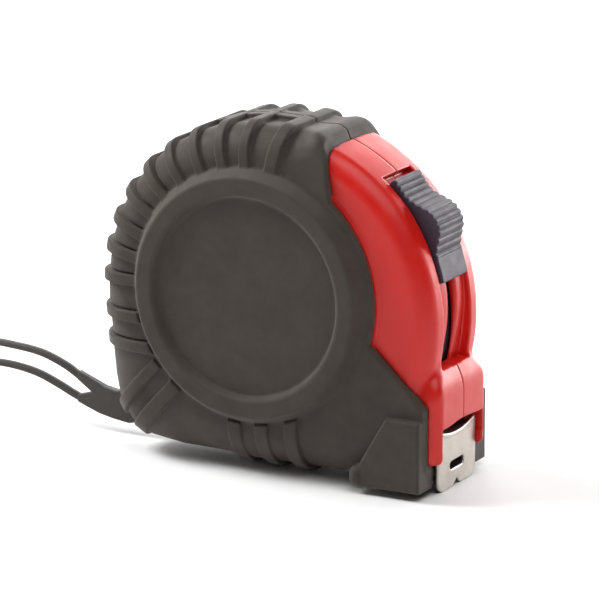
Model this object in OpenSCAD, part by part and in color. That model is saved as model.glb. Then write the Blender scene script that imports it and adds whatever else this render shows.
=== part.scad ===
// Pocket tape measure: rubber-jacketed drum case, red front housing, sliding thumb lock,
// spring-returned steel blade with an end hook, belt clip on the right side and a wrist strap.
// +X is forward, towards the hook. +Y is the right side. +Z is up, and Z = 0 is the resting plane.

/* [Drum] */
// Height of the centre of the side discs above the resting plane
axis_h = 39; // [38.5:0.5:40]
// Radius of the rubber drum between its ribs
drum_r = 37; // [36.5:0.1:37.4]
// How far the ribs stand proud of the drum
rib_h = 1.1; // [0.6:0.1:1.4]
// Width of a rib
rib_w = 2; // [1.4:0.1:2.4]
// Half thickness of the rubber side walls
side_y = 14.8; // [14.6:0.1:15]
// Half thickness over the raised rings, which is half the body thickness
ring_y = 17.9; // [17.5:0.1:18.3]

/* [Front housing] */
// Radius of the front arc
front_r = 41.7; // [41.5:0.1:41.9]
// Forward reach of the nose
nose_x = 44.1; // [43.9:0.1:44.4]
// Half width of the nose
nose_y = 12.2; // [12:0.1:12.4]
// Half width of the recess that the thumb lock slides in
recess_y = 6.3; // [6.2:0.1:6.5]

/* [Blade] */
// Half width of the curved blade
blade_y = 9.1; // [8.6:0.1:9.2]
// Thickness of the blade
blade_t = 0.15; // [0.12:0.01:0.2]
// Depth of the curve across the blade
blade_sag = 1.8; // [1.4:0.1:1.9]
// Height of the blade's lowest line above the resting plane
blade_z = 10.3; // [10.2:0.1:10.4]
// Outer radius of the wound blade
coil_r = 24; // [23:0.1:24]
// Depth that the hook reaches below the resting plane
hook_drop = 0.9; // [0:0.1:1.2]

/* [Strap] */
// Diameter of the wrist strap's strand
strand_d = 2.2; // [2:0.1:2.6]

/* [Hidden] */
$fn = 96;
eps = 0.01;
big = 200;

rubber = "dimgray";
red = "crimson";
dark = "darkslateblue";
steel = "silver";

// Raised ring and sunken disc of the jacket, as radii about the disc axis
disc_r = 20.9;
ring_in_r = 22.8;
ring_out_r = 25.7;
ring_foot_r = 27.5;
disc_y = 16.2;
shoulder_r = 7;
rib_angles = [for (k = [0 : 11]) 79.3 + 11.6 * k];
// Wide ribs across the rear corner, as [offset, width], and the short ones below the ring
corner_angle = 227;
corner_ribs = [[-4.4, 2.8], [1.9, 3.4]];
bottom_rib_x = [-3.9, 2.6, 9.8];
bottom_rib_w = 3.2;

// Red core that carries the jacket, and the hollow inside it
core_r = 34.2;
core_y = 13.2;
boss_r = 24;
boss_y = 15.4;
cavity_r = 32.2;
cavity_y = 11.2;
core_low_z = 2.6;

// Front arc: its centre, the recess floor and the inner face of its wall
arc_x = 1;
arc_z = axis_h - 4;
recess_r = front_r - 1.2;
front_in_r = recess_r - 1.7;
recess_top = 49;
recess_low = -12.5;
slot_y = 2.9;
slot_top = 36;
slot_low = -10.5;
front_side_r = 5.5;

// Nose, mouth and foot
shoulder_z = 24.4;
mouth_top_z = 13.7;
finger_z = 5.9;
mouth_y = 9.4;
mouth_back_x = 38.6;
nose_round = 3;
foot_x = 41.6;
foot_y = 16.5;
foot_top_z = 16.5;

// Spool
spool_z = 36.5;
hub_r = 15.4;
hub_wall = 0.9;
flange_r = 25;
spool_y = 10.3;
post_r = 3.2;
spring_turns = 7;
spring_t = 0.45;

// Screws that join the two case halves, as [radius, angle] about the disc axis
screw_spots = [[29.2, 100], [29.2, 190], [33.5, 228], [32.9, -43.2]];
screw_r = 1.4;
screw_head_r = 2.6;
post_wall_r = 3.2;

// Thumb lock, as angles about the centre of the front arc
lock_y = 5.9;
lock_top = 46.8;
lock_low = 13.5;
lock_crest = 30.2;
lock_rise = 3.3;
tooth_pitch = 1.9;
tooth_depth = 0.35;
stem_y = 2.6;
arm_out_r = front_in_r - 0.4;
arm_in_r = arm_out_r - 1.2;
shoe_low = -24.3;

// Belt clip on the right side
clip_x = 7;
clip_t = 1;
clip_gap_y = 23;
clip_top_z = axis_h + 17;
clip_low_z = 12;

// Wrist strap: pin, tab and the route of its loop
pin_x = -31.8;
pin_z = 7.2;
pin_r = 1.3;
lug_r = 2.2;
tab_y = 1.3;
tab_ring_r = 3.4;
loop_route = [
    [-48.5, 0, 9.4], [-51.5, 0, 10.7], [-55.6, 0, 12.9], [-62, 0, 15], [-70, 0, 15.8],
    [-77, 0.8, 15.7], [-84, 2.8, 14.5], [-92, 6, 12], [-100, 9.2, 8.8], [-108, 11.6, 5.6],
    [-116, 13, 3], [-124, 13, 1.6], [-132, 11.4, 1.3], [-139, 7.6, 1.3], [-142.5, 2, 1.3],
    [-142.5, -4, 1.3], [-139, -9, 1.3], [-132, -12.2, 1.3], [-124, -13.4, 1.3],
    [-116, -13, 1.8], [-108, -11.2, 3.2], [-100, -8.6, 5.4], [-92, -5.6, 8],
    [-84, -2.8, 10.2], [-77, -0.9, 11.2], [-70, 0, 11.1], [-63, 0, 10.1], [-57.5, 0, 8.2],
    [-53, 0, 6.3], [-48.5, 0, 4.7]];

// ---- helpers -------------------------------------------------------------------------------

// Extrudes a side view, drawn in X and Z, from y0 to y1
module side(y0, y1) {
    translate([0, y1, 0]) rotate([90, 0, 0]) linear_extrude(y1 - y0) children();
}

// Revolves a profile, drawn as radius and distance towards -Y, about the axis through x, z
module turned(x, z, from = 0, sweep = 360) {
    translate([x, 0, z]) rotate([90, 0, 0])
        rotate_extrude(angle = sweep, start = from) children();
}

// A pin along Y
module rod(x, z, r, y0, y1) {
    side(y0, y1) translate([x, z]) circle(r);
}

module left_only() {
    intersection() {
        children();
        translate([-big, -big, -big]) cube([2 * big, big, 2 * big]);
    }
}

module mirrored() {
    mirror([0, 1, 0]) children();
}

function polar(r, a) = [r * cos(a), r * sin(a)];
function arc_points(cx, cy, r, from, to, steps) =
    [for (i = [0 : steps]) [cx, cy] + polar(r, from + (to - from) * i / steps)];

// ---- jacket --------------------------------------------------------------------------------

// Half section of the drum: sunken disc, raised ring, side wall and round shoulder
module drum_section(proud) {
    polygon(concat(
        [[0, 0], [0, disc_y], [disc_r, disc_y], [ring_in_r, ring_y], [ring_out_r, ring_y],
         [ring_foot_r, side_y]],
        arc_points(drum_r - shoulder_r + proud, side_y - shoulder_r + proud / 2,
                   shoulder_r, 90, 0, 6),
        [[drum_r + proud, 0]]));
}

// Side view that bounds the jacket: everything behind the edge where the red housing shows
module jacket_edge() {
    translate([0, axis_h])
        polygon(concat([[-60, -60], [-60, 60], [11.8, 60]], arc_points(0, 0, 29.6, 49, -14.7, 16),
                       [[foot_x, -20.2], [foot_x, -60]]));
}

// Side view of the squared lower body, drawn in by "inset"
module low_outline(inset) {
    polygon([[-37 + inset, 34], [-36.8 + inset, 13 + inset / 2], [-35.8 + inset, 8.8 + inset / 2],
             [-32 + inset / 2, 3.6 + inset], [-27, 1.2 + inset / 2], [-20, inset / 2],
             [39, inset / 2], [39, 17], [31, 34]]);
}

module low_body() {
    hull() {
        side(-8, 0) low_outline(0);
        side(-side_y, 0) low_outline(4.2);
    }
}

// Raised front end of the jacket's top
module brow() {
    hull() {
        side(-11.2, 0) translate([0, axis_h])
            polygon([[3, 28], [3, 36.9], [13.6, 36.9], [15.6, 36.2], [17, 34.8], [18.4, 30], [19, 28]]);
        side(-side_y, 0) translate([0, axis_h])
            polygon([[3, 22], [3, 33.4], [13.6, 33.4], [16.8, 32.4], [19.4, 22]]);
    }
}

module foot() {
    side(-foot_y, -9.3)
        polygon([[26, 0], [24.8, 1], [24.8, 3.4], [33.4, foot_top_z], [foot_x, foot_top_z], [foot_x, 0]]);
}

module ribs() {
    intersection() {
        turned(0, axis_h) drum_section(rib_h);
        union() {
            for (a = rib_angles)
                translate([0, 0, axis_h]) rotate([0, -a, 0])
                    translate([ring_foot_r - 1, -big, -rib_w / 2]) cube([20, big, rib_w]);
        }
    }
    // raised band down the middle that joins the ribs
    turned(0, axis_h, 70, 138) translate([drum_r - 3, 0]) square([2.9 + rib_h, 2.5]);
}

// The two wide ribs at the rear corner and the three short ribs below the ring
module low_ribs() {
    for (c = corner_ribs)
        translate([0, 0, axis_h]) rotate([0, -corner_angle, 0])
            translate([ring_foot_r + 1, -side_y - 0.4, c[0] - c[1] / 2]) cube([12.6, side_y - 4, c[1]]);
    for (x = bottom_rib_x)
        translate([x - bottom_rib_w / 2, -side_y - 0.4, 1.2])
            cube([bottom_rib_w, 6, axis_h - ring_foot_r]);
}

// One half of the jacket, with the room for everything that it is moulded around
module jacket_half() {
    difference() {
        left_only() intersection() {
            union() {
                turned(0, axis_h) drum_section(0);
                ribs();
                low_body();
                low_ribs();
                brow();
                foot();
            }
            side(-big, 1) jacket_edge();
        }
        core_left();
        strap_notch();
        mouth_recess();
    }
}

module strap_notch() {
    // the gap in the middle of the rear corner that the strap swings in
    rod(pin_x, pin_z, tab_ring_r + 0.7, -tab_y - 0.4, 1);
    side(-tab_y - 0.4, 1)
        polygon([[pin_x + 1, pin_z - tab_ring_r - 0.6], [-38, -2], [-60, -2], [-60, 38],
                 [pin_x - 2, pin_z + tab_ring_r + 1.6], [pin_x, pin_z + tab_ring_r + 0.65]]);
    rod(pin_x, pin_z, pin_r, -7, 1);
}

module armour_left() {
    color(rubber) jacket_half();
}

module armour_right() {
    color(rubber) difference() {
        mirrored() jacket_half();
        for (s = screw_spots) screw_hole(s, screw_head_r + 0.4, 8, 30);
        rod(0, axis_h, 3.4, boss_y - 1, 20);
    }
}

// ---- red case ------------------------------------------------------------------------------

// The core under the jacket: drum, disc boss and squared lower body
module core_left() {
    union() {
        turned(0, axis_h)
            polygon([[0, 0], [0, boss_y], [boss_r, boss_y], [boss_r + 1.5, core_y],
                     [core_r - 3, core_y], [core_r, core_y - 3], [core_r, 0]]);
        side(-core_y + 1, 0)
            polygon([[-31.4, 30], [-31, 15], [-24, core_low_z + 1.5], [-20, core_low_z],
                     [mouth_back_x, core_low_z], [mouth_back_x, 21.6], [32, 28], [32, 30]]);
        // lug that holds the strap's pin
        rod(pin_x, pin_z, lug_r, -8, 0);
        side(-8, 0)
            polygon([[pin_x - 1.2, pin_z + 2.2], [-29, 18], [-24, 12], [pin_x + 1.6, pin_z - 1.9]]);
    }
}

// Red front housing, where it shows in front of the jacket's edge
module front_left() {
    difference() {
        union() {
            turned(arc_x, arc_z, -19, 100)
                polygon(concat([[18, 0], [18, core_y]],
                               arc_points(front_r - front_side_r, core_y - front_side_r,
                                          front_side_r, 90, 0, 6),
                               [[front_r, 0]]));
            nose_left();
        }
        side(-big, 1) jacket_edge();
    }
}

module nose_left() {
    // upright block whose front edge is rounded, with a sloping shoulder on top
    intersection() {
        translate([0, 0, finger_z]) linear_extrude(shoulder_z + 4 - finger_z) {
            translate([20, -nose_y]) square([nose_x - nose_round - 20, nose_y]);
            translate([nose_x - nose_round, -nose_y + nose_round]) circle(nose_round);
            translate([nose_x - nose_round - 1, -nose_y + nose_round])
                square([nose_round + 1, nose_y - nose_round]);
        }
        side(-big, 1)
            polygon([[20, 0], [nose_x, 0], [nose_x, shoulder_z - 0.7], [41.6, 26.6], [39, 28.4],
                     [20, 28.4]]);
        // the shoulder slopes at its sides too
        forward(0, 60) polygon([[1, 0], [-nose_y, 0], [-nose_y, 22.4], [-7.4, 28.4], [1, 28.4]]);
    }
}

module mouth_recess() {
    // space between the two fingers that the hook hangs in
    translate([mouth_back_x, -mouth_y, -5]) cube([20, 2 * mouth_y, mouth_top_z + 5]);
}

module lock_recess() {
    // sunken track of the thumb lock, and the slot through its floor
    turned(arc_x, arc_z, recess_low, recess_top - recess_low)
        translate([recess_r, -recess_y]) square([10, 2 * recess_y]);
    turned(arc_x, arc_z, slot_low, slot_top - slot_low)
        translate([front_in_r - 2, -slot_y]) square([10, 2 * slot_y]);
}

module hollow() {
    rod(0, axis_h, cavity_r, -cavity_y, cavity_y);
    turned(arc_x, arc_z, -38.5, 94.5)
        translate([20, -9.6]) square([front_in_r - 20, 19.2]);
    translate([-17, -9.7, 9]) cube([mouth_back_x + 20, 19.4, mouth_top_z - 9]);
}

// Posts that the case screws run into
module posts() {
    for (s = screw_spots)
        rod(polar(s[0], s[1])[0], axis_h + polar(s[0], s[1])[1], post_wall_r, -cavity_y - eps, 0);
}

module screw_hole(s, r, y0, y1) {
    rod(polar(s[0], s[1])[0], axis_h + polar(s[0], s[1])[1], r, y0, y1);
}

module case_half() {
    difference() {
        union() {
            difference() {
                union() {
                    core_left();
                    front_left();
                }
                hollow();
            }
            intersection() {
                posts();
                core_left();
            }
        }
        mouth_recess();
        lock_recess();
        strap_notch();
        translate([mouth_back_x - 10, -mouth_y, 9]) cube([20, 2 * mouth_y, mouth_top_z - 9]);
    }
}

module case_left() {
    color(red) difference() {
        case_half();
        for (s = screw_spots) screw_hole(s, screw_r, -9, 1);
        rod(0, spool_z, post_r, -cavity_y - 1.4, 0);
    }
}

module case_right() {
    color(red) difference() {
        mirrored() case_half();
        for (s = screw_spots) {
            screw_hole(s, screw_r + 0.2, -1, 30);
            screw_hole(s, screw_head_r + 0.2, core_y - 2.2, 30);
        }
        rod(0, spool_z, post_r, 0, cavity_y + 1.4);
        rod(0, axis_h, 1.3, cavity_y + 1.5, 20);
        rod(0, axis_h, 5.2, boss_y, 20);
    }
}

module case_screws() {
    color(steel) for (s = screw_spots) {
        screw_hole(s, screw_r, -8.5, core_y - 1);
        screw_hole(s, screw_head_r, core_y - 2.2, core_y - 0.6);
    }
}

module liner() {
    side(-cavity_y, -cavity_y + 0.3) difference() {
        translate([0, spool_z]) circle(26);
        translate([0, spool_z]) circle(post_r + 0.2);
    }
}

module liner_left() {
    color("white") liner();
}

module liner_right() {
    color("white") mirrored() liner();
}

// ---- spool, spring and blade ---------------------------------------------------------------

module centre_post() {
    color("white") difference() {
        union() {
            rod(0, spool_z, post_r, -cavity_y - 1.4, cavity_y + 1.4);
            rod(0, spool_z, post_r + 0.8, -8.4, 8.4);
        }
        translate([-0.4, -8.2, spool_z - 10]) cube([0.8, 16.4, 20]);
    }
}

module spool() {
    color("gold") difference() {
        union() {
            rod(0, spool_z, hub_r + hub_wall, -spool_y, spool_y - 0.8);
            rod(0, spool_z, flange_r, -spool_y, -spool_y + 0.8);
        }
        rod(0, spool_z, hub_r, -spool_y + 0.8, spool_y);
        rod(0, spool_z, post_r + 0.06, -big, big);
    }
}

module spool_cap() {
    color("gold") difference() {
        rod(0, spool_z, flange_r, spool_y - 0.8, spool_y);
        rod(0, spool_z, post_r + 0.06, -big, big);
    }
}

// One turn after another, from the post out to the spool hub
function spiral(r0, r1, turns, steps) =
    [for (i = [0 : turns * steps])
        polar(r0 + (r1 - r0) * i / (turns * steps), 360 * i / steps)];

module power_spring() {
    // its outer end meets the hub's wall
    inner = spiral(5.2, hub_r - spring_t - 0.02, spring_turns, 24);
    outer = spiral(5.2 + spring_t, hub_r - 0.02, spring_turns, 24);
    color("slategray") side(-8, 8) translate([0, spool_z])
        polygon(concat(inner, [for (i = [len(outer) - 1 : -1 : 0]) outer[i]]));
}

module blade_coil() {
    color("khaki") side(-9.4, 9.4) difference() {
        translate([0, spool_z]) circle(coil_r);
        translate([0, spool_z]) circle(hub_r + hub_wall);
    }
}

// Cross-section of the curved blade and of pieces that follow it, drawn in Y and Z
module curved_strip(half_w, low, t) {
    sheet_r = (blade_y * blade_y + blade_sag * blade_sag) / (2 * blade_sag);
    intersection() {
        difference() {
            translate([0, low + sheet_r]) circle(sheet_r);
            translate([0, low + sheet_r]) circle(sheet_r - t);
        }
        translate([-half_w, low - 1]) square([2 * half_w, 5]);
    }
}

// Extrudes a front view, drawn in Y and Z, from x0 to x1
module forward(x0, x1) {
    translate([x0, 0, 0]) rotate([90, 0, 90]) linear_extrude(x1 - x0) children();
}

module blade_lead() {
    color("khaki") difference() {
        forward(-14, 41.6) curved_strip(blade_y, blade_z, blade_t);
        for (p = rivet_spots) translate([p[0], p[1], 0]) cylinder(r = 0.95, h = 30);
    }
}

rivet_spots = [[37.2, -3], [37.2, 3], [33.4, 0]];
tongue_t = 0.6;
tongue_z = blade_z + blade_t + 0.03;
hook_front_x = 42.7;
hook_t = 0.8;

module hook_rivets() {
    color(steel) for (p = rivet_spots) translate([p[0], p[1], 0]) {
        translate([0, 0, blade_z - 0.5]) cylinder(r = 0.9, h = 2.6);
        translate([0, 0, blade_z - 0.9]) cylinder(r = 1.7, h = 0.85);
        translate([0, 0, blade_z + 1.45]) cylinder(r = 1.7, h = 0.5);
    }
}

module end_hook() {
    color(steel) {
        // riveted tongue, which follows the blade's curve and can slide on its rivets
        difference() {
            forward(31, hook_front_x - 0.1) curved_strip(6.4, tongue_z, tongue_t);
            for (p = rivet_spots) translate([p[0], p[1], 0]) {
                for (dx = [-1, 0]) translate([dx, 0, 0]) cylinder(r = 1.05, h = 30);
                translate([-1, -1.05, 0]) cube([1, 2.1, 30]);
            }
        }
        // face: rounded lower corners, a notch between two teeth and a nail slot
        forward(hook_front_x - hook_t, hook_front_x) hook_face();
    }
}

module hook_face() {
    corner = 2.6;
    difference() {
        union() {
            translate([-blade_y, corner - hook_drop])
                square([2 * blade_y, blade_z + blade_sag - corner + hook_drop]);
            for (s = [-1, 1]) translate([s * (blade_y - corner), corner - hook_drop]) circle(corner);
            translate([-blade_y + corner, -hook_drop])
                square([2 * (blade_y - corner), corner + 1]);
        }
        polygon([[-1.8, -hook_drop - 1], [-1.8, -hook_drop], [0, 0.6], [1.8, -hook_drop],
                 [1.8, -hook_drop - 1]]);
        for (s = [-1, 1]) translate([s * 2.5, 4]) circle(0.9);
        translate([-2.5, 3.1]) square([5, 1.8]);
        translate([0, tongue_z + tongue_t + (blade_y * blade_y + blade_sag * blade_sag)
                   / (2 * blade_sag) - tongue_t])
            circle((blade_y * blade_y + blade_sag * blade_sag) / (2 * blade_sag) - tongue_t);
    }
}

module mouth_bumper() {
    // soft block below the blade that the hook lands on
    color("black") difference() {
        translate([mouth_back_x, -7.5, 4.6]) cube([2.6, 15, 4.2]);
        for (y = [-4, 0, 4]) translate([mouth_back_x + 2.6, y, 4]) cylinder(r = 0.8, h = 6);
    }
}

module mouth_guide() {
    // low-friction bar across the mouth floor, dished to the blade's underside
    color("white") difference() {
        translate([24, -mouth_y + 0.1, 9]) cube([5, 2 * mouth_y - 0.2, 2.6]);
        forward(20, 40) translate([0, blade_z + 22.8]) circle(23.1);
    }
}

// ---- thumb lock ----------------------------------------------------------------------------

// Height of the thumb lock over the arc: a broad crest, a low end above it, and fine teeth
function lock_radius(a) =
    front_r + 0.5 + 0.6 * max(0, (a - 41) / (lock_top - 41))
    + lock_rise * exp(-pow(abs(a - lock_crest) / (a > lock_crest ? 6.8 : 6), 2.6))
    - (a > 21 ? tooth_depth * (1 + cos(360 * (a - lock_top) / tooth_pitch)) / 2 : 0);

module thumb_lock() {
    steps = 72;
    color(dark) {
        side(-lock_y, lock_y) translate([arc_x, arc_z])
            polygon(concat(
                [for (i = [0 : steps])
                    let (a = lock_low + (lock_top - lock_low) * i / steps) polar(lock_radius(a), a)],
                [for (i = [12 : -1 : 0])
                    polar(recess_r + 0.3, lock_low + (lock_top - lock_low) * i / 12)]));
        turned(arc_x, arc_z, 23, 11)
            translate([arm_out_r - 0.2, -stem_y]) square([recess_r - arm_out_r + 1, 2 * stem_y]);
    }
}

module lock_arm() {
    // curved carrier behind the front wall, wider than the slot
    color(dark) difference() {
        turned(arc_x, arc_z, shoe_low + 3.8, 38.2 - shoe_low)
            translate([arm_in_r, -4.5]) square([arm_out_r - arm_in_r, 9]);
        turned(arc_x, arc_z, 23, 11)
            translate([arm_out_r - 0.2, -stem_y]) square([5, 2 * stem_y]);
    }
}

module brake_shoe() {
    // soft pad on the carrier's lower end
    color("black")
        turned(arc_x, arc_z, shoe_low, 3.8)
            translate([arm_in_r - 2.6, -4.5]) square([arm_out_r - arm_in_r + 2.6, 9]);
}

module lock_detent() {
    // sprung strip across the housing that holds the carrier at either end of its travel
    color(steel)
        turned(arc_x, arc_z, 50, 5)
            translate([arm_in_r - 0.2, -9.6]) square([0.4, 19.2]);
}

// ---- belt clip -----------------------------------------------------------------------------

module belt_clip_leaf() {
    // screwed leaf in the right-hand disc, with the bend at its top
    color(steel) difference() {
        translate([-clip_x, 0, 0]) rotate([90, 0, 90]) linear_extrude(2 * clip_x)
            polygon([[disc_y, axis_h - 9], [disc_y, clip_top_z - 1], [disc_y + 3.2, clip_top_z + 6],
                     [disc_y + 4.4, clip_top_z + 6.4], [disc_y + 4.9, clip_top_z + 5.6],
                     [disc_y + 4, clip_top_z + 5.2], [disc_y + clip_t, clip_top_z - 1.4],
                     [disc_y + clip_t, axis_h - 9]]);
        rod(0, axis_h, 1.7, 10, 30);
    }
}

module belt_clip_finger() {
    // sprung leaf that grips the belt, flared at its free end
    color(steel) translate([-clip_x, 0, 0]) rotate([90, 0, 90]) linear_extrude(2 * clip_x)
        polygon([[disc_y + 5.05, clip_top_z + 5.5], [disc_y + 6.1, clip_top_z + 4.6],
                 [clip_gap_y + clip_t, clip_top_z - 2], [clip_gap_y + clip_t, clip_low_z + 6],
                 [clip_gap_y + clip_t + 1.6, clip_low_z], [clip_gap_y + 1.6, clip_low_z],
                 [clip_gap_y, clip_low_z + 6], [clip_gap_y, clip_top_z - 2.4],
                 [disc_y + 5.05, clip_top_z + 4.2]]);
}

module clip_screw() {
    color(steel) difference() {
        union() {
            rod(0, axis_h, 1.25, cavity_y + 1.6, disc_y + clip_t);
            rod(0, axis_h, 3, disc_y + clip_t, disc_y + clip_t + 1.2);
        }
        for (a = [0, 90]) translate([0, disc_y + clip_t + 1.2, axis_h]) rotate([0, a, 0])
            cube([3.2, 1.2, 0.7], center = true);
    }
}

// ---- wrist strap ---------------------------------------------------------------------------

module strap_pin() {
    color(steel) rod(pin_x, pin_z, pin_r, -6.9, 6.9);
}

module strap_tab() {
    // moulded ring on the pin, and the flat neck that the two strands grow from
    color("black") side(-tab_y, tab_y) difference() {
        union() {
            translate([pin_x, pin_z]) circle(tab_ring_r);
            polygon([[pin_x + 0.5, pin_z + tab_ring_r - 0.1], [-36, 9.7], [-42.2, 8.7], [-45, 9.2],
                     [-48.5, 10.6], [-48.5, 3.7], [-46.3, 2.9], [-42.5, 2.1], [-38.6, 1.7], [-35, 2.4],
                     [pin_x - 0.5, pin_z - tab_ring_r + 0.1]]);
        }
        translate([pin_x, pin_z]) circle(pin_r + 0.06);
        polygon([[pin_x - 0.8, pin_z - 1], [-38, 3.4], [-41, 3.7], [-42.2, 4.9],
                 [-41.5, 6.2], [-38, 7.1], [pin_x - 0.8, pin_z + 1]]);
    }
}

// Closed tube of eight sides along the loop's route
module strap_loop() {
    sides = 8;
    r = strand_d / 2;
    n = len(loop_route);
    rings = [for (i = [0 : n - 1])
        let (p = loop_route[i],
             q = loop_route[min(i + 1, n - 1)] - loop_route[max(i - 1, 0)],
             t = q / norm(q),
             u = cross([0, 0, 1], t) / norm(cross([0, 0, 1], t)),
             v = cross(t, u))
        for (k = [0 : sides - 1]) p + r * (cos(360 * k / sides) * u + sin(360 * k / sides) * v)];
    walls = [for (i = [0 : n - 2], k = [0 : sides - 1])
        let (k2 = (k + 1) % sides)
        each [[i * sides + k, (i + 1) * sides + k, (i + 1) * sides + k2],
              [i * sides + k, (i + 1) * sides + k2, i * sides + k2]]];
    color("black") polyhedron(rings, concat(walls,
        [[for (k = [0 : sides - 1]) k]],
        [[for (k = [sides - 1 : -1 : 0]) (n - 1) * sides + k]]), convexity = 6);
}

// ---- one line per node ---------------------------------------------------------------------

armour_left();
armour_right();
case_left();
case_right();
case_screws();
liner_left();
liner_right();
centre_post();
spool();
spool_cap();
power_spring();
blade_coil();
blade_lead();
end_hook();
hook_rivets();
mouth_bumper();
mouth_guide();
thumb_lock();
lock_arm();
brake_shoe();
lock_detent();
belt_clip_leaf();
belt_clip_finger();
clip_screw();
strap_pin();
strap_tab();
strap_loop();
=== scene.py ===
import math

import bpy
import numpy as np
from mathutils import Matrix, Vector


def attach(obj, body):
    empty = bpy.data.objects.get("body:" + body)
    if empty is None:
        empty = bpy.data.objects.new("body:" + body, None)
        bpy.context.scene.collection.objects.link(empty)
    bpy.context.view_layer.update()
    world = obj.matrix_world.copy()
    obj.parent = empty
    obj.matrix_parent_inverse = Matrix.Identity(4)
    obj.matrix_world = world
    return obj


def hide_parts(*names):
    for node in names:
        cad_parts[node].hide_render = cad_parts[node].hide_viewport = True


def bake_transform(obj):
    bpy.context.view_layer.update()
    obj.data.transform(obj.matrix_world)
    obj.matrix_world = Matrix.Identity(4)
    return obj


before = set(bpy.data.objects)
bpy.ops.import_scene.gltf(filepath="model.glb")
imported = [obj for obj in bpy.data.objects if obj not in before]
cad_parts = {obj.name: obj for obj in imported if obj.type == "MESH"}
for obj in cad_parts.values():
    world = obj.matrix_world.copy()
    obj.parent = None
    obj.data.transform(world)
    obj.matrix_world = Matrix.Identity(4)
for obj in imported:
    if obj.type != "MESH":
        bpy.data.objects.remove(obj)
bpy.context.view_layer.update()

MM = 0.001
AXIS_H = 39.0                 # height of the disc axis, in mm
ARC_X, ARC_Z = 1.0, 35.0      # centre of the front arc, in mm
BLADE_END, BLADE_HALF = 41.6, 9.1     # the blade's end along x and half its width, in mm

# ---- camera -----------------------------------------------------------------------------------

AZ, EL = math.radians(28.2), math.radians(14.6)
DISTANCE, SHIFT_RIGHT, SHIFT_DOWN = 0.8696, 0.00391, 0.00412      # from the disc axis, in m
cam_right = Vector((math.cos(AZ), math.sin(AZ), 0))
cam_up = Vector((-math.sin(AZ) * math.sin(EL), math.cos(AZ) * math.sin(EL), math.cos(EL)))
cam_look = Vector((-math.sin(AZ) * math.cos(EL), math.cos(AZ) * math.cos(EL), -math.sin(EL)))
cam_data = bpy.data.cameras.new("camera")
cam_data.lens = 240
cam_data.sensor_width = 36
cam_data.clip_start = 0.01
camera = bpy.data.objects.new("camera", cam_data)
bpy.context.collection.objects.link(camera)
place = Vector((0, 0, AXIS_H * MM)) - DISTANCE * cam_look + SHIFT_RIGHT * cam_right - SHIFT_DOWN * cam_up
turn = Matrix((cam_right, cam_up, -cam_look)).transposed().to_4x4()
camera.matrix_world = Matrix.Translation(place) @ turn
bpy.context.scene.camera = camera
bpy.context.scene.view_settings.view_transform = "Standard"


# ---- mesh helpers -----------------------------------------------------------------------------

def add_mesh(name, verts, faces, material=None, smooth=True):
    """A mesh object from points in mm and a list or array of faces."""
    mesh = bpy.data.meshes.new(name)
    faces = faces.tolist() if isinstance(faces, np.ndarray) else faces
    mesh.from_pydata((np.asarray(verts, float) * MM).tolist(), [], faces)
    mesh.update()
    if smooth:
        mesh.polygons.foreach_set("use_smooth", [True] * len(mesh.polygons))
    obj = bpy.data.objects.new(name, mesh)
    bpy.context.collection.objects.link(obj)
    if material:
        mesh.materials.append(material)
    return obj


def smin(a, b, k):
    """Union of two distance fields with a fillet of about k mm."""
    h = np.maximum(k - np.abs(a - b), 0) / k
    return np.minimum(a, b) - h * h * (k / 4)


def smax(a, b, k):
    return -smin(-a, -b, k)


def round_corner(a, b, r):
    """Intersection of a < 0 and b < 0 whose edge is rounded to radius r."""
    a, b = a + r, b + r
    return np.minimum(np.maximum(a, b), 0) + np.hypot(np.maximum(a, 0), np.maximum(b, 0)) - r


def polygon_field(points, x, z):
    """Signed distance to a polygon, negative inside."""
    pts = np.asarray(points, np.float32)
    dist = np.full(np.shape(x), 1e9, np.float32)
    inside = np.zeros(np.shape(x), bool)
    for (ax, az), (bx, bz) in zip(pts, np.roll(pts, -1, axis=0)):
        ex, ez = bx - ax, bz - az
        wx, wz = x - ax, z - az
        t = np.clip((wx * ex + wz * ez) / (ex * ex + ez * ez), 0, 1)
        dist = np.minimum(dist, (wx - ex * t) ** 2 + (wz - ez * t) ** 2)
        if az != bz:
            crosses = ((az > z) != (bz > z)) & (x < ex * (z - az) / ez + ax)
            inside ^= crosses
    return np.where(inside, -1, 1) * np.sqrt(dist)


def arc_points(cx, cz, r, start, end, steps):
    return [(cx + r * math.cos(math.radians(start + (end - start) * i / steps)),
             cz + r * math.sin(math.radians(start + (end - start) * i / steps)))
            for i in range(steps + 1)]


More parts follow.
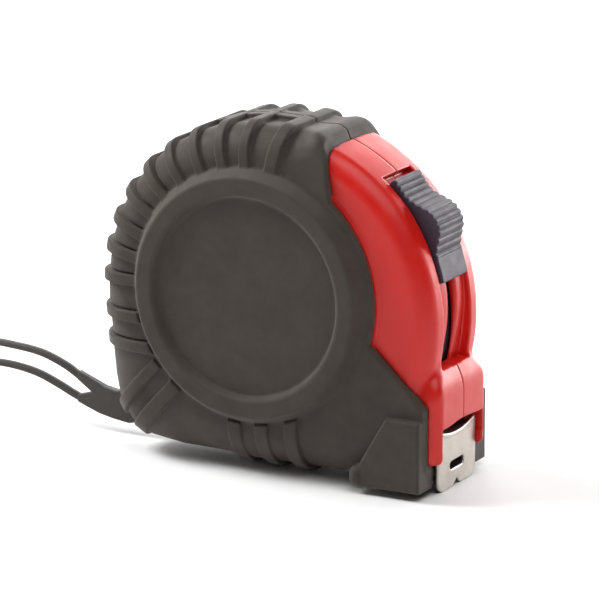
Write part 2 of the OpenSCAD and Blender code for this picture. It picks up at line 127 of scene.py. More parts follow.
def field_mesh(field, low, high, step):
    """Mesh of the surface where field is 0, by surface nets, in a box, then moved onto the surface."""
    axes = [np.arange(a, b + step, step, dtype=np.float32) for a, b in zip(low, high)]
    shape = tuple(len(a) for a in axes)
    grid = np.empty(shape, np.float32)
    slab = max(1, 400000 // (shape[1] * shape[2]))
    for i in range(0, shape[0], slab):
        x, y, z = np.meshgrid(axes[0][i:i + slab], axes[1], axes[2], indexing="ij")
        grid[i:i + slab] = field(x, y, z)
    inside = grid < 0
    cells = tuple(n - 1 for n in shape)
    corner = [(i, j, k) for i in (0, 1) for j in (0, 1) for k in (0, 1)]
    count = np.zeros(cells, np.int8)
    for i, j, k in corner:
        count += inside[i:i + cells[0], j:j + cells[1], k:k + cells[2]]
    active = (count > 0) & (count < 8)
    ci, cj, ck = np.nonzero(active)
    index = np.full(cells, -1, np.int64)
    index[active] = np.arange(len(ci))
    value = {c: grid[ci + c[0], cj + c[1], ck + c[2]].astype(np.float64) for c in corner}
    total = np.zeros((len(ci), 3))
    hits = np.zeros(len(ci))
    for a in corner:
        for axis in range(3):
            if a[axis]:
                continue
            b = tuple(1 if n == axis else v for n, v in enumerate(a))
            va, vb = value[a], value[b]
            cut = (va < 0) != (vb < 0)
            t = np.where(cut, va / np.where(cut, va - vb, 1), 0)
            point = np.tile(np.array(a, float), (len(ci), 1))
            point[:, axis] = t
            total[cut] += point[cut]
            hits += cut
    verts = (np.stack([ci, cj, ck], 1) + total / hits[:, None]) * step + np.array(low, float)
    faces = []
    for axis in range(3):
        u, v = (axis + 1) % 3, (axis + 2) % 3
        lo = [slice(None)] * 3
        hi = [slice(None)] * 3
        lo[axis], hi[axis] = slice(0, -1), slice(1, None)
        cut = inside[tuple(lo)] != inside[tuple(hi)]
        p = np.stack(np.nonzero(cut), 1)
        keep = (p[:, u] > 0) & (p[:, v] > 0) & (p[:, u] < cells[u]) & (p[:, v] < cells[v])
        p = p[keep]
        quad = []
        for du, dv in ((1, 1), (0, 1), (0, 0), (1, 0)):
            q = p.copy()
            q[:, u] -= du
            q[:, v] -= dv
            quad.append(index[q[:, 0], q[:, 1], q[:, 2]])
        quad = np.stack(quad, 1)
        flip = ~inside[p[:, 0], p[:, 1], p[:, 2]]
        quad[flip] = quad[flip][:, ::-1]
        faces.append(quad)
    faces = np.concatenate(faces)
    for _ in range(3):
        x, y, z = verts.T
        e = 0.02
        f = field(x, y, z)
        grad = np.stack([field(x + e, y, z) - field(x - e, y, z), field(x, y + e, z) - field(x, y - e, z),
                         field(x, y, z + e) - field(x, y, z - e)], 1) / (2 * e)
        size = np.maximum((grad ** 2).sum(1), 0.1)
        move = -(f / size)[:, None] * grad
        length = np.maximum(np.linalg.norm(move, axis=1, keepdims=True), 1e-9)
        verts = verts + move * np.minimum(1, 0.5 * step / length)
    return verts, faces


def field_piece(name, field, low, high, step, material):
    verts, faces = field_mesh(field, low, high, step)
    return add_mesh(name, verts, faces, material)


# ---- materials --------------------------------------------------------------------------------

class Nodes:
    """A small helper that builds a material's node tree."""

    def __init__(self, name, **sockets):
        self.mat = bpy.data.materials.new(name)
        self.mat.use_nodes = True
        self.tree = self.mat.node_tree
        self.shader = self.tree.nodes["Principled BSDF"]
        for key, value in sockets.items():
            self.shader.inputs[key.replace("_", " ")].default_value = value
        self.coord = self.tree.nodes.new("ShaderNodeTexCoord").outputs["Object"]

    def add(self, kind, inputs=(), **props):
        n = self.tree.nodes.new(kind)
        for key, value in props.items():
            setattr(n, key, value)
        for key, value in dict(inputs).items():
            if isinstance(value, bpy.types.NodeSocket):
                self.tree.links.new(value, n.inputs[key])
            else:
                n.inputs[key].default_value = value
        return n

    def link(self, out, socket):
        self.tree.links.new(out, self.shader.inputs[socket])

    def noise(self, scale, detail=4, rough=0.5):
        return self.add("ShaderNodeTexNoise", {"Vector": self.coord, "Scale": scale, "Detail": detail,
                                               "Roughness": rough}).outputs["Fac"]

    def ramp(self, fac, stops, socket=None):
        n = self.add("ShaderNodeValToRGB", {"Fac": fac})
        n.color_ramp.elements[0].position, n.color_ramp.elements[0].color = stops[0]
        n.color_ramp.elements[1].position, n.color_ramp.elements[1].color = stops[-1]
        for position, color in stops[1:-1]:
            n.color_ramp.elements.new(position).color = color
        if socket:
            self.link(n.outputs["Color"], socket)
        return n.outputs["Color"]

    def math(self, op, a, b=0.0, c=0.0):
        return self.add("ShaderNodeMath", {0: a, 1: b, 2: c}, operation=op).outputs[0]

    def bump(self, height, strength, distance, normal=None):
        inputs = {"Height": height, "Strength": strength, "Distance": distance}
        if normal is not None:
            inputs["Normal"] = normal
        return self.add("ShaderNodeBump", inputs).outputs["Normal"]


def grey(v):
    return (v, v, v, 1)


def rubber_material(name, dark, light, rough=(0.62, 0.76)):
    m = Nodes(name, Roughness=0.7, Specular_IOR_Level=0.30, Sheen_Weight=0.14, Sheen_Roughness=0.45,
              Sheen_Tint=(1, 0.97, 0.94, 1))
    m.ramp(m.noise(140, 5, 0.6), [(0.3, dark), (0.72, light)], "Base Color")
    m.ramp(m.noise(420, 3), [(0.3, grey(rough[0])), (0.7, grey(rough[1]))], "Roughness")
    fine = m.bump(m.noise(5200, 2), 0.25, 0.00006)
    m.link(m.bump(m.noise(900, 3), 0.15, 0.00012, fine), "Normal")
    return m.mat


def plastic_material(name, dark, light, rough, coat=0.0):
    m = Nodes(name, Roughness=0.3, Coat_Weight=coat, Coat_Roughness=0.12)
    m.ramp(m.noise(60, 3), [(0.3, dark), (0.7, light)], "Base Color")
    m.ramp(m.noise(300, 4), [(0.35, grey(rough[0])), (0.65, grey(rough[1]))], "Roughness")
    fine = m.bump(m.noise(3600, 2), 0.10, 0.00004)
    m.link(m.bump(m.noise(110, 2), 0.12, 0.0003, fine), "Normal")
    return m.mat


def steel_material(name, dark, light, rough=(0.26, 0.42), grain_axis=(1, 40, 1)):
    m = Nodes(name, Metallic=1.0, Roughness=0.3)
    stretched = m.add("ShaderNodeMapping", {"Vector": m.coord, "Scale": grain_axis}).outputs[0]
    brushed = m.add("ShaderNodeTexNoise", {"Vector": stretched, "Scale": 260, "Detail": 4}).outputs["Fac"]
    m.ramp(m.noise(240, 4), [(0.3, dark), (0.7, light)], "Base Color")
    m.ramp(brushed, [(0.3, grey(rough[0])), (0.7, grey(rough[1]))], "Roughness")
    m.link(m.bump(brushed, 0.12, 0.00005), "Normal")
    return m.mat


rubber = rubber_material("jacket_rubber", (0.047, 0.037, 0.030, 1), (0.059, 0.047, 0.038, 1))
strap_rubber = rubber_material("strap_rubber", (0.046, 0.040, 0.036, 1), (0.060, 0.053, 0.048, 1),
                               (0.5, 0.62))
black_rubber = rubber_material("black_rubber", (0.008, 0.008, 0.008, 1), (0.014, 0.014, 0.014, 1))
red = plastic_material("red_plastic", (0.62, 0.007, 0.003, 1), (0.70, 0.010, 0.004, 1), (0.38, 0.48), 0.03)
lock_plastic = plastic_material("lock_plastic", (0.034, 0.020, 0.037, 1), (0.044, 0.028, 0.049, 1),
                                (0.5, 0.6))
acetal = plastic_material("inner_plastic", (0.66, 0.64, 0.58, 1), (0.76, 0.74, 0.69, 1), (0.35, 0.45))
film = plastic_material("liner_film", (0.78, 0.78, 0.75, 1), (0.85, 0.85, 0.83, 1), (0.4, 0.5))
hook_steel = steel_material("hook_steel", (0.47, 0.43, 0.39, 1), (0.57, 0.53, 0.48, 1), (0.3, 0.44),
                            (1, 1, 30))
clip_steel = steel_material("clip_steel", (0.30, 0.30, 0.31, 1), (0.38, 0.38, 0.39, 1), (0.34, 0.46),
                            (30, 1, 1))
screw_steel = steel_material("screw_steel", (0.52, 0.52, 0.54, 1), (0.68, 0.68, 0.70, 1), (0.25, 0.4))
spring_steel = steel_material("spring_steel", (0.16, 0.17, 0.21, 1), (0.28, 0.29, 0.34, 1))


def blade_material():
    """Yellow painted steel with a printed millimetre scale along both edges."""
    m = Nodes("blade_paint", Roughness=0.3, Coat_Weight=0.5, Coat_Roughness=0.15)
    xyz = m.add("ShaderNodeSeparateXYZ", {"Vector": m.coord})
    along = m.math("MULTIPLY", xyz.outputs["X"], -1000.0)
    along = m.math("ADD", along, 100.0 + BLADE_END)     # ten whole centimetres on, so that it stays positive
    across = m.math("MULTIPLY", m.math("ABSOLUTE", xyz.outputs["Y"]), 1000.0)

    def tick(pitch, width, reach):
        near = m.math("PINGPONG", along, pitch / 2)
        on = m.math("LESS_THAN", near, width / 2)
        return m.math("MULTIPLY", on, m.math("GREATER_THAN", across, BLADE_HALF - reach))

    longer = m.math("MAXIMUM", tick(5, 0.22, 3.4), tick(10, 0.26, 5.2))
    marks = m.math("MAXIMUM", tick(1, 0.18, 2.2), longer)
    paint = m.ramp(m.noise(90, 4), [(0.3, (0.78, 0.55, 0.03, 1)), (0.7, (0.86, 0.62, 0.05, 1))])
    mix = m.add("ShaderNodeMix", data_type="RGBA")
    m.tree.links.new(marks, mix.inputs[0])
    m.tree.links.new(paint, mix.inputs[6])
    mix.inputs[7].default_value = (0.012, 0.012, 0.012, 1)
    m.link(mix.outputs[2], "Base Color")
    m.ramp(m.noise(500, 3), [(0.3, grey(0.26)), (0.7, grey(0.36))], "Roughness")
    m.link(m.bump(m.noise(1500, 2), 0.1, 0.00003), "Normal")
    return m.mat


blade_paint = blade_material()

# ---- wrist strap ------------------------------------------------------------------------------

STRAND_W, STRAND_H = 2.1, 1.6
PIN = (-31.8, 7.2)
LOOP = [(-48.5, 0, 9.4), (-51.5, 0, 10.7), (-55.6, 0, 12.9), (-62, 0, 15), (-70, 0, 15.8),
        (-77, 0.8, 15.7), (-84, 2.8, 14.5), (-92, 6, 12), (-100, 9.2, 8.8), (-108, 11.6, 5.6),
        (-116, 13, 3), (-124, 13, 1.6), (-132, 11.4, 1.3), (-139, 7.6, 1.3), (-142.5, 2, 1.3),
        (-142.5, -4, 1.3), (-139, -9, 1.3), (-132, -12.2, 1.3), (-124, -13.4, 1.3),
        (-116, -13, 1.8), (-108, -11.2, 3.2), (-100, -8.6, 5.4), (-92, -5.6, 8),
        (-84, -2.8, 10.2), (-77, -0.9, 11.2), (-70, 0, 11.1), (-63, 0, 10.1), (-57.5, 0, 8.2),
        (-53, 0, 6.3), (-48.5, 0, 4.7)]


def smooth_path(points, per_span):
    """Catmull-Rom points through the given ones."""
    p = np.array(points, float)
    p = np.vstack([2 * p[0] - p[1], p, 2 * p[-1] - p[-2]])
    out = []
    for i in range(1, len(p) - 2):
        for t in np.arange(per_span) / per_span:
            a, b, c, d = p[i - 1:i + 3]
            out.append(0.5 * (2 * b + (c - a) * t + (2 * a - 5 * b + 4 * c - d) * t * t
                              + (3 * b - a - 3 * c + d) * t ** 3))
    out.append(p[-2])
    return np.array(out)


def sweep(name, path, section, material, up=(0, 0, 1)):
    """A closed tube of the given section (across, up) along a path."""
    n = len(section)
    tangent = np.gradient(path, axis=0)
    tangent /= np.linalg.norm(tangent, axis=1, keepdims=True)
    across = np.cross(np.tile(up, (len(path), 1)), tangent)
    across /= np.linalg.norm(across, axis=1, keepdims=True)
    top = np.cross(tangent, across)
    rings = [path[i] + np.outer(section[:, 0], across[i]) + np.outer(section[:, 1], top[i])
             for i in range(len(path))]
    verts = np.concatenate(rings)
    faces = [[i * n + k, i * n + (k + 1) % n, (i + 1) * n + (k + 1) % n, (i + 1) * n + k]
             for i in range(len(path) - 1) for k in range(n)]
    faces += [list(range(n))[::-1], [(len(path) - 1) * n + k for k in range(n)]]
    return add_mesh(name, verts, faces, material)


def oval_section(width, height, sides, power=2.6):
    """A rounded rectangle, counter-clockwise."""
    a = 2 * np.pi * np.arange(sides) / sides
    c, s = np.cos(a), np.sin(a)
    return np.stack([width / 2 * np.sign(c) * np.abs(c) ** (2 / power),
                     height / 2 * np.sign(s) * np.abs(s) ** (2 / power)], 1)


loop_path = smooth_path(LOOP, 6)
strap_loop = sweep("wrist_loop", loop_path, oval_section(STRAND_W, STRAND_H, 20), strap_rubber)
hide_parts("strap_loop")


def tab_field(x, y, z):
    tab = polygon_field([(-31.3, 10.5), (-36, 9.7), (-42.2, 8.8), (-45, 9.3), (-48.4, 10.7), (-51.7, 12.0),
                         (-52, 10.1), (-48.3, 7.6), (-51.9, 6.6), (-52, 4.9), (-49.6, 4.0), (-46.3, 2.9),
                         (-42.5, 2.2), (-38.6, 1.7), (-35, 2.4), (-32.3, 3.9)], x, z)
    ring = np.hypot(x - PIN[0], z - PIN[1]) - 3.4
    hole = polygon_field([(-32.6, 6.1), (-36.5, 4.2), (-38.6, 4.5), (-39.4, 5.5), (-38.8, 6.4),
                          (-36.5, 7.2), (-32.6, 8.3)], x, z)
    flat = smax(smin(tab, ring, 1.0), -smin(hole - 0.1, np.hypot(x - PIN[0], z - PIN[1]) - 1.36, 0.4), 0.5)
    half = 1.3 - 0.25 * np.clip((-43 - x) / 6, 0, 1)
    return round_corner(flat, np.abs(y) - half, 0.5)


strap_tab = field_piece("wrist_tab", tab_field, (-53, -2, 0.8), (-27.6, 2, 13.5), 0.13, strap_rubber)
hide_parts("strap_tab")
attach(strap_tab, "strap")
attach(strap_loop, "strap")

# ---- jacket -----------------------------------------------------------------------------------

# Points are given as x, the distance w from the middle seam, and z; the two halves mirror each other.
RING_R, RING_W = 26.4, 17.9                 # raised ring: radius of its flat face, its height
DISC_R, DISC_W = 21.7, 16.2                 # sunken disc: radius of its wall's foot, its height
RIBS = (79.4, 92.2, 103, 114.3, 125.5, 136.6, 148, 158.9, 169.5, 180)     # degrees about the axis
REAR_RIBS = (31.0, 24.4)                    # heights of the level ribs at the rear
CORNER_DIR = math.radians(227)
CORNER_RIBS = ((-4.4, 1.4), (1.9, 1.7))     # offset across the corner's direction, half width
BOTTOM_RIBS = (-3.4, 3.2, 10.4)             # places along x
EDGE = ([(-60, -60), (-60, 60), (11.8, 60)] + arc_points(0, 0, 29.6, 49, -14.7, 24)
        + [(41.6, -20.2), (41.6, -60)])     # outline of the jacket's front edge, about the axis
LOW = [(-38.4, 38), (-38.9, 33), (-38.6, 24), (-37.8, 16), (-36.8, 10.8), (-33.4, 5), (-28, 1.9),
       (-20, 0.9), (20, 0.4), (60, 0.4), (60, 42), (20, 42), (-36, 42)]
FOOT = [(27.6, 0.8), (26.6, 4.6), (33.5, 16.5), (41.6, 16.5), (41.6, 0.8)]
FOOT_W = 12.9                               # middle of the foot's thickness
SCREWS = [(29.2, 100), (29.2, 190), (33.5, 228), (32.9, -43.2)]           # radius, angle
SCREW_XZ = [(r * math.cos(math.radians(a)), AXIS_H + r * math.sin(math.radians(a))) for r, a in SCREWS]
SCREW_HOLE, SCREW_SEAT = 2.8, 11            # radius of the hole, distance of its floor from the seam
FAR = 50.0                                  # a field value well outside everything


def base_field(x, w, z):
    """The jacket without ring, ribs and feet; also its lower body, and the distance from the drum's axis."""
    dx, dz = x + 0.3, z - AXIS_H + 0.35
    drum_r = np.hypot(dx, dz) - 0.5 * np.clip(-dx / 36, 0, 1) ** 2
    low = round_corner(polygon_field(LOW, x, z), w - 14.8, 10.5)
    return smin(round_corner(drum_r - 36.9, w - 14.6, 7), low, 2.0), low, drum_r


def screw_posts(x, w, z, radius):
    """Round posts about the case screws, from their seats outwards."""
    posts = np.full(np.shape(x), FAR, np.float32)
    for sx, sz in SCREW_XZ:
        posts = np.minimum(posts, np.maximum(np.hypot(x - sx, z - sz) - radius, SCREW_SEAT - w))
    return posts


def core_field(x, w, z, base):
    """The red core under the jacket: drum, disc boss, lower body and the lug of the strap's pin."""
    r = np.hypot(x, z - AXIS_H)
    core = np.maximum(np.maximum(r - 34.2, w - 13.2), (r + w - 43.4) * 0.7)
    core = np.minimum(core, np.maximum(r - 24, w - 15.4))
    low = polygon_field([(-31.4, 30), (-31, 15), (-24, 4.8), (-20, 3.4), (38.6, 3.4), (38.6, 22.6),
                         (32.6, 28.4), (32, 30)], x, z)
    low = smax(low, (w - z - 3.4) * 0.7, 0.2)
    core = np.minimum(core, np.maximum(low, w - 12.2))
    lug = np.minimum(np.hypot(x - PIN[0], z - PIN[1]) - 2.2,
                     polygon_field([(-33, 9.4), (-29, 18), (-24, 12), (-30.2, 5.3)], x, z))
    core = np.maximum(np.minimum(core, np.maximum(lug, w - 8)), base + 1.3)
    return np.maximum(core, -screw_posts(x, w, z, 4.2))


def notch_field(x, w, z):
    """Room that the strap swings in, in the middle of the rear corner."""
    shape = np.minimum(np.hypot(x - PIN[0], z - PIN[1]) - 4.1,
                       polygon_field([(-30.8, 3.2), (-38, -2), (-60, -2), (-60, 38), (-33.8, 12.2),
                                      (-31.8, 11.25)], x, z))
    return np.maximum(shape, w - 1.7)


def mouth_field(x, w, z):
    """The mouth that the blade runs out of, with its arched top."""
    return np.maximum(np.maximum(38.6 - x, w - 9.4), z - 14.1 + 0.012 * w * w)


def ring_field(r, w):
    """Raised ring with its sunken disc."""
    ring = smax(w - RING_W, ((r - RING_R) * 3.2 + (w - RING_W) * 2.05) / 3.8, 0.4)
    dish = smax(((r - DISC_R) * 1.9 - (w - DISC_W) * 1.1) / 2.2, DISC_W - w, 0.2)
    return smax(smax(ring, -dish, 0.6), r - 30, 0.5)


def shoulder_ribs(x, w, z, body, over):
    """The ribs over the shoulder and rear, and the fine creases beside the rear ones."""
    zr = z - AXIS_H
    slab = np.full(np.shape(x), FAR, np.float32)
    crease = slab
    for a in RIBS:
        c, s = math.cos(math.radians(a)), math.sin(math.radians(a))
        half = 1.45 if a == RIBS[0] else 1.15
        across, inner = zr * c - x * s, 27.9 - x * c - zr * s
        slab = np.minimum(slab, np.maximum(np.abs(across) - half, inner))
        if a > 130:
            crease = np.minimum(crease, np.maximum(np.abs(across + half + 0.2) - 0.27, inner))
    ribs = smax(over, slab, 0.3)
    inner = np.maximum(28.1 - np.hypot(x, zr), x)
    for rz in REAR_RIBS:
        ribs = np.minimum(ribs, smax(body - 0.9, np.maximum(np.abs(z - rz) - 1.2, inner), 0.3))
        crease = np.minimum(crease, np.maximum(np.abs(z - rz - 1.32) - 0.2, inner))
    return ribs, crease


def band_field(x, w, z, over):
    """Raised band down the middle that joins the shoulder's ribs."""
    theta = np.degrees(np.arctan2(z - AXIS_H, x)) % 360
    limit = np.maximum(78.6 - theta, theta - 208) * np.hypot(x, z - AXIS_H) * math.radians(1)
    return smax(smax(over + 0.25, w - 2.6, 0.4), limit, 0.5)


def lower_ribs(x, w, z, low):
    """Wide ribs across the rear corner, and short ones under the ring."""
    zr = z - AXIS_H
    c, s = math.cos(CORNER_DIR), math.sin(CORNER_DIR)
    along, across = x * c + zr * s, zr * c - x * s
    slab = np.full(np.shape(x), FAR, np.float32)
    for offset, half in CORNER_RIBS:
        slab = np.minimum(slab, np.maximum(np.abs(across - offset) - half, 28.4 - along))
    corner = smax(smax(low - 0.95, slab, 0.3), 2.6 - w, 0.8)
    slab = np.full(np.shape(x), FAR, np.float32)
    for bx in BOTTOM_RIBS:
        slab = np.minimum(slab, np.maximum(np.abs(x - bx) - 1.6, 28.3 - np.hypot(x, zr)))
    return corner, smax(low - 1.2, np.maximum(slab, z - 20), 0.3)


def brow_field(x, w, z):
    """Smooth squared part in front of the ribs."""
    side = w - 13.4 - 0.18 * np.clip(71.5 - z, 0, 8)
    top = z - 75.1 - 0.07 * (x - 9.5) + 0.16 * np.maximum(x - 13, 0) ** 2
    brow = round_corner(top, side, 7.5 - 3.2 * np.clip((x - 9) / 6, 0, 1))
    outline = polygon_field([(3, 60), (3, 90), (15.75, 90), (15.75, 74.8), (16.5, 72.4), (30, 57),
                             (12, 57)], x, z)
    return smax(brow, outline, 0.3)


def foot_field(x, w, z):
    """Front foot with the bead at its rear end."""
    foot = round_corner(polygon_field(FOOT, x, z), np.abs(w - FOOT_W) - 3.6, 0.6)
    bead = np.hypot(np.hypot(x - 26.5, z - np.clip(z, 2.4, 3.6)), np.maximum(np.abs(w - FOOT_W) - 2.6, 0))
    return foot, bead - 1.6


def jacket_field(x, w, z):
    zr = z - AXIS_H
    body, low, drum_r = base_field(x, w, z)
    core = core_field(x, w, z, body)
    over = round_corner(drum_r - 38.05 - 0.35 * np.clip((x - 2) / 5, 0, 1), w - 15.3, 7.2)
    ribs, crease = shoulder_ribs(x, w, z, body, over)
    corner, under = lower_ribs(x, w, z, low)
    body = smin(body, brow_field(x, w, z), 1.6)
    body = smax(body, -np.maximum(crease, -body - 0.5), 0.1)
    for raised in (ribs, band_field(x, w, z, over), corner, under):
        body = smin(body, raised, 0.25)
    body = smin(body, ring_field(np.hypot(x, zr), w), 0.4)
    body = smax(body, polygon_field(EDGE, x, zr), 0.5)
    foot, bead = foot_field(x, w, z)
    body = smin(smin(body, foot, 0.4), bead, 0.3)
    body = np.maximum(body, -core)
    body = np.maximum(body, -notch_field(x, w, z))
    body = smax(body, -np.maximum(mouth_field(x, w, z), 2.3 - z), 0.4)
    return smax(body, 0.06 - w, 0.25)


def left_jacket(x, y, z):
    return jacket_field(x, -y, z)


def right_jacket(x, y, z):
    """The right half, with its screw holes and the hole of the clip's screw."""
    f = smax(jacket_field(x, y, z), -screw_posts(x, y, z, SCREW_HOLE), 0.3)
    return smax(f, -(np.maximum(np.hypot(x, z - AXIS_H) - 3.4, 13 - y)), 0.3)


STEP = 0.31      # cell of the large meshes, in mm
armour_left = field_piece("jacket_left", left_jacket, (-41, -18.6, -0.6), (42.6, 0.6, 81), STEP, rubber)
armour_right = field_piece("jacket_right", right_jacket, (-41, -0.6, -0.6), (42.6, 18.6, 81), STEP, rubber)
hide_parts("armour_left")
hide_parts("armour_right")
for piece in (armour_left, armour_right):
    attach(piece, "case")

# ---- red case ---------------------------------------------------------------------------------


def arc_place(x, z):
    """Radius and angle, in degrees, about the centre of the front arc."""
    return np.hypot(x - ARC_X, z - ARC_Z), np.degrees(np.arctan2(z - ARC_Z, x - ARC_X))


def front_field(x, w, z):
    """The part that shows in front of the jacket: the arched front and the nose with its fingers."""
    rho, phi = arc_place(x, z)
    front_r = 41.7 - 0.9 * np.clip((phi - 38) / 30, 0, 1.2) - 0.0035 * w * w
    arc = round_corner(rho - front_r, w - 12.9 - 0.3 * np.clip((35 - rho) / 10, 0, 1), 4.2)
    arc = np.maximum(arc, np.maximum(-19 - phi, phi - 81) * rho * math.radians(1))
    arc = np.maximum(arc, 18 - rho)
    block = round_corner(x - 44.1, w - 12.2, 3.0)
    block = smax(block, smax(((x - 44.1) * 2.9 + (z - 23.7) * 2.5) / 3.83, z - 28.4, 0.6), 2.4)
    block = smax(block, ((w - 12.3) * 4.0 + (z - 22.4) * 3.3) / 5.19, 2.4)
    block = smax(block, 5.9 - z, 1.6)
    block = np.maximum(block, 20 - x)
    return np.maximum(smin(arc, block, 1.4), -polygon_field(EDGE, x, z - AXIS_H))


def hollow_field(x, w, z):
    """Room inside for the reel, the lock's carrier and the blade's way out."""
    rho, phi = arc_place(x, z)
    reel = np.maximum(np.hypot(x, z - AXIS_H) - 32.2, w - 11.2)
    carrier = np.maximum(np.maximum(rho - 38.8, w - 9.6),
                         np.maximum(20 - rho, np.maximum(-38.5 - phi, phi - 56)))
    way_out = np.maximum(np.maximum(np.abs(x - 15) - 40, w - 9.7), np.maximum(9 - z, z - 13.7))
    return np.minimum(np.minimum(reel, carrier), way_out)


def case_field(x, w, z):
    rho, phi = arc_place(x, z)
    body = np.minimum(front_field(x, w, z), core_field(x, w, z, base_field(x, w, z)[0]))
    body = np.maximum(body, -hollow_field(x, w, z))
    # recess that the lock runs in, deeper at both its ends, and the slot in its floor
    floor_r = 40.7 - 1.4 * np.clip((14 - phi) / 24, 0, 1) ** 1.5 - 0.03 * np.maximum(w - 2.5, 0) ** 2
    floor_r = np.maximum(floor_r - 0.9 * np.clip((phi - 40) / 7, 0, 1), 39.5)
    recess = np.maximum(np.maximum(w - 6.4, floor_r - rho), np.maximum(25.9 - z, (phi - 49.6) * 0.7))
    body = smax(body, -recess, 0.35)
    slot = np.maximum(np.maximum(w - 1.7, 36.5 - rho), np.maximum(26.2 - z, (phi - 36) * 0.7))
    body = smax(body, -slot, 0.9)
    body = smax(body, -mouth_field(x, w, z), 0.5)
    body = np.maximum(body, -notch_field(x, w, z))
    return smax(body, 0.05 - w, 0.15)


def left_case(x, y, z):
    f = case_field(x, -y, z)
    return np.maximum(f, -np.maximum(np.hypot(x, z - 36.5) - 3.2, -y - 12.6))


def right_case(x, y, z):
    f = np.maximum(case_field(x, y, z), -screw_posts(x, y, z, SCREW_HOLE))
    f = np.maximum(f, -np.maximum(np.hypot(x, z - 36.5) - 3.2, y - 12.6))
    f = np.maximum(f, -np.maximum(np.hypot(x, z - AXIS_H) - 1.3, 12 - y))
    return f


case_left = field_piece("case_shell_left", left_case, (-36, -16, 1.6), (45, 0.6, 78), STEP, red)
case_right = field_piece("case_shell_right", right_case, (-36, -0.6, 1.6), (45, 16, 78), STEP, red)
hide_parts("case_left")
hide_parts("case_right")
for piece in (case_left, case_right):
    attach(piece, "case")

# ---- thumb lock -------------------------------------------------------------------------------


def lock_radius(a):
    """Distance of the lock's face from the front arc's centre: a broad crest and fine teeth."""
    wide = np.where(a > 30.2, 6.8, 6.0)
    r = 42.2 + 3.35 * np.exp(-(np.abs(a - 30.2) / wide) ** 2.6) + 0.6 * np.clip((a - 41) / 5.8, 0, 1)
    teeth = 0.4 * (1 - np.abs(np.sin(np.radians(180 * (a - 46.8) / 1.9))))
    return r - np.where(a > 20.6, teeth, 0)


def lock_field(x, y, z):
    rho, phi = arc_place(x, z)
    body = smax(rho - lock_radius(phi), 40.8 - rho, 0.3)
    body = smax(body, np.maximum(13.5 - phi, phi - 47.0) * rho * math.radians(1), 0.3)
    body = smax(body, np.abs(y) - 5.95, 0.4)
    stem = np.maximum(np.abs(y) - 2.6, np.maximum(38.2 - rho, rho - 41.5))
    stem = np.maximum(stem, (np.abs(phi - 28.5) - 5.5) * rho * math.radians(1))
    return np.minimum(body, stem)


thumb = field_piece("thumb_slider", lock_field, (28, -6.5, 42), (49, 6.5, 71), 0.14, lock_plastic)
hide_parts("thumb_lock")
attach(thumb, "lock")

# ---- end hook ---------------------------------------------------------------------------------

BLADE_Z, HOOK_X, HOOK_T, DROP = 10.3, 42.7, 0.8, 0.9
SHEET_R = (9.1 ** 2 + 1.8 ** 2) / 3.6
RIVETS = [(37.2, -3), (37.2, 3), (33.4, 0)]


def hook_field(x, y, z):
    w = np.abs(y)
    tongue_low = BLADE_Z + 0.18
    arch = np.hypot(y, z - tongue_low - SHEET_R)
    tongue = np.maximum(arch - SHEET_R, SHEET_R - 0.6 - arch)
    tongue = round_corner(tongue, np.maximum(w - 6.4, np.maximum(31 - x, x - HOOK_X + 0.1)), 0.15)
    tongue = np.maximum(tongue, z - 16)
    for rx, ry in RIVETS:
        slot = np.hypot(np.maximum(np.abs(x - rx + 0.5) - 0.5, 0), y - ry) - 1.05
        tongue = np.maximum(tongue, -slot)
    outline = round_corner(w - 9.1, -DROP - z, 2.6)
    top = SHEET_R - 0.6 - arch
    outline = smax(outline, top, 0.8)
    notch = ((z + DROP) * 1.8 + w * 1.5) / 2.34 - 1.15
    outline = smax(outline, -notch, 0.35)
    slot = np.hypot(np.maximum(w - 2.5, 0), z - 4) - 0.9
    outline = smax(outline, -slot, 0.2)
    face = round_corner(outline, np.abs(x - HOOK_X + HOOK_T / 2) - HOOK_T / 2, 0.28)
    return smin(face, tongue, 0.5)


hook = field_piece("steel_hook", hook_field, (30.6, -9.5, -1.3), (43.2, 9.5, 13.6), 0.15, hook_steel)
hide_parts("end_hook")
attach(hook, "hook")

# ---- belt clip --------------------------------------------------------------------------------

CLIP = [(0, 16.72, 30), (0, 16.72, 36), (0, 16.72, 44), (0, 16.72, 51), (0, 17.0, 55.6), (0, 18.6, 59.8),
        (0, 20.2, 61.9), (0, 21.9, 61.6), (0, 23.2, 59.0), (0, 23.5, 54), (0, 23.5, 44), (0, 23.5, 34),
        (0, 23.5, 24), (0, 23.55, 19), (0, 24.0, 16), (0, 24.9, 12.8)]

CLIP_HALF, CLIP_ROUND, CLIP_T = 7.0, 4.0, 1.0     # half width, radius of the ends' corners, thickness


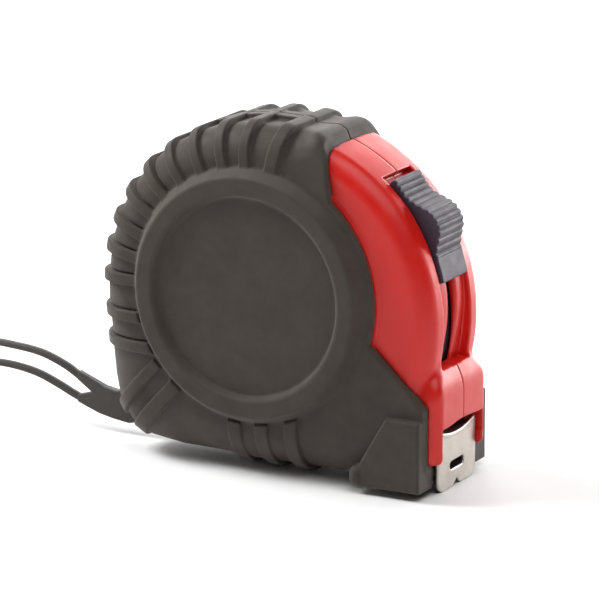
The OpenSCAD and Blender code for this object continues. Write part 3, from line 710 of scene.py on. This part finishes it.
def clip_mesh():
    path = smooth_path(CLIP, 8)
    s = np.concatenate([[0], np.cumsum(np.linalg.norm(np.diff(path, axis=0), axis=1))])
    total = s[-1]
    tangent = np.gradient(path, axis=0)
    tangent /= np.linalg.norm(tangent, axis=1, keepdims=True)
    normal = np.stack([np.zeros(len(path)), -tangent[:, 2], tangent[:, 1]], 1)
    rings = []
    for i, p in enumerate(path):
        half = CLIP_HALF
        for gap in (s[i], total - s[i]):
            if gap < CLIP_ROUND:
                half = CLIP_HALF - CLIP_ROUND + math.sqrt(max(0, CLIP_ROUND ** 2 - (CLIP_ROUND - gap) ** 2))
        line = [(half * k, CLIP_T / 2) for k in np.linspace(-1, 1, 24)]
        line = [(a, b - 0.18 * max(0, (abs(a) - half + 0.35) / 0.35)) for a, b in line]
        back = [(a, -b) for a, b in line[::-1]]
        rings.append([p + np.array([a, 0, 0]) + b * normal[i] for a, b in line + back])
    n = len(rings[0])
    verts = np.concatenate([np.array(r) for r in rings])
    faces = [[i * n + k, (i + 1) * n + k, (i + 1) * n + (k + 1) % n, i * n + (k + 1) % n]
             for i in range(len(path) - 1) for k in range(n)]
    faces += [list(range(n)), [(len(path) - 1) * n + k for k in range(n)][::-1]]
    return add_mesh("belt_clip", verts, faces, clip_steel)


clip = clip_mesh()
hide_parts("belt_clip_leaf", "belt_clip_finger")
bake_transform(clip)

# ---- carried-over nodes -----------------------------------------------------------------------

KEPT = {"case_screws": screw_steel, "liner_left": film, "liner_right": film, "centre_post": acetal,
        "spool": acetal, "spool_cap": acetal, "power_spring": spring_steel, "blade_coil": blade_paint,
        "blade_lead": blade_paint, "hook_rivets": hook_steel, "mouth_bumper": black_rubber,
        "mouth_guide": acetal, "lock_arm": lock_plastic, "brake_shoe": black_rubber,
        "lock_detent": spring_steel, "clip_screw": screw_steel, "strap_pin": screw_steel}
for node, material in KEPT.items():
    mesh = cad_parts[node].data
    mesh.materials.clear()
    mesh.materials.append(material)

# ---- floor, light -----------------------------------------------------------------------------

floor_z = -(DROP + 0.02) * MM
bpy.ops.mesh.primitive_plane_add(size=6, location=(0, 0, floor_z))
floor = bpy.context.object
floor.name = "floor"
pale = Nodes("floor_pale", Roughness=0.6, Emission_Color=(1, 1, 1, 1))
pale.ramp(pale.noise(3, 2), [(0.3, (0.86, 0.86, 0.86, 1)), (0.7, (0.88, 0.88, 0.88, 1))], "Base Color")
# far from the object, out of the lamps' reach, the floor glows up to the backdrop's white
reach = pale.add("ShaderNodeVectorMath", {0: pale.coord}, operation="LENGTH").outputs["Value"]
glow = pale.add("ShaderNodeMapRange", {"Value": reach, "From Min": 0.35, "From Max": 0.9}).outputs["Result"]
pale.link(glow, "Emission Strength")
floor.data.materials.append(pale.mat)

world = bpy.data.worlds.new("studio")
world.use_nodes = True
nodes, links = world.node_tree.nodes, world.node_tree.links
nodes["Background"].inputs["Strength"].default_value = 0.10
backdrop = nodes.new("ShaderNodeBackground")
backdrop.inputs["Color"].default_value = (1, 1, 1, 1)
either = nodes.new("ShaderNodeMixShader")
links.new(nodes.new("ShaderNodeLightPath").outputs["Is Camera Ray"], either.inputs[0])
links.new(nodes["Background"].outputs[0], either.inputs[1])
links.new(backdrop.outputs[0], either.inputs[2])
links.new(either.outputs[0], nodes["World Output"].inputs["Surface"])
bpy.context.scene.world = world


LIT = Vector((0.005, 0, 0.035))     # the point that the lamps are aimed at


def area_light(name, direction, distance, size, watts):
    """A soft box at an azimuth and elevation round the object, aimed at it."""
    az, el = (math.radians(v) for v in direction)
    light = bpy.data.lights.new(name, "AREA")
    light.shape = "RECTANGLE"
    light.size, light.size_y = size
    light.energy = watts
    obj = bpy.data.objects.new(name, light)
    spot = Vector((math.sin(az) * math.cos(el), -math.cos(az) * math.cos(el), math.sin(el))) * distance
    obj.location = LIT + spot
    obj.rotation_euler = (-spot).to_track_quat("-Z", "Y").to_euler()
    bpy.context.collection.objects.link(obj)


area_light("left", (-80, 46), 1.0, (0.4, 0.4), 11)
area_light("side", (-62, 18), 1.1, (0.8, 0.5), 1.7)
area_light("behind", (166, 11), 0.95, (0.9, 0.36), 11)
area_light("rear", (206, 20), 1.0, (0.9, 0.5), 6)
area_light("top", (55, 66), 1.3, (1.0, 1.0), 10)
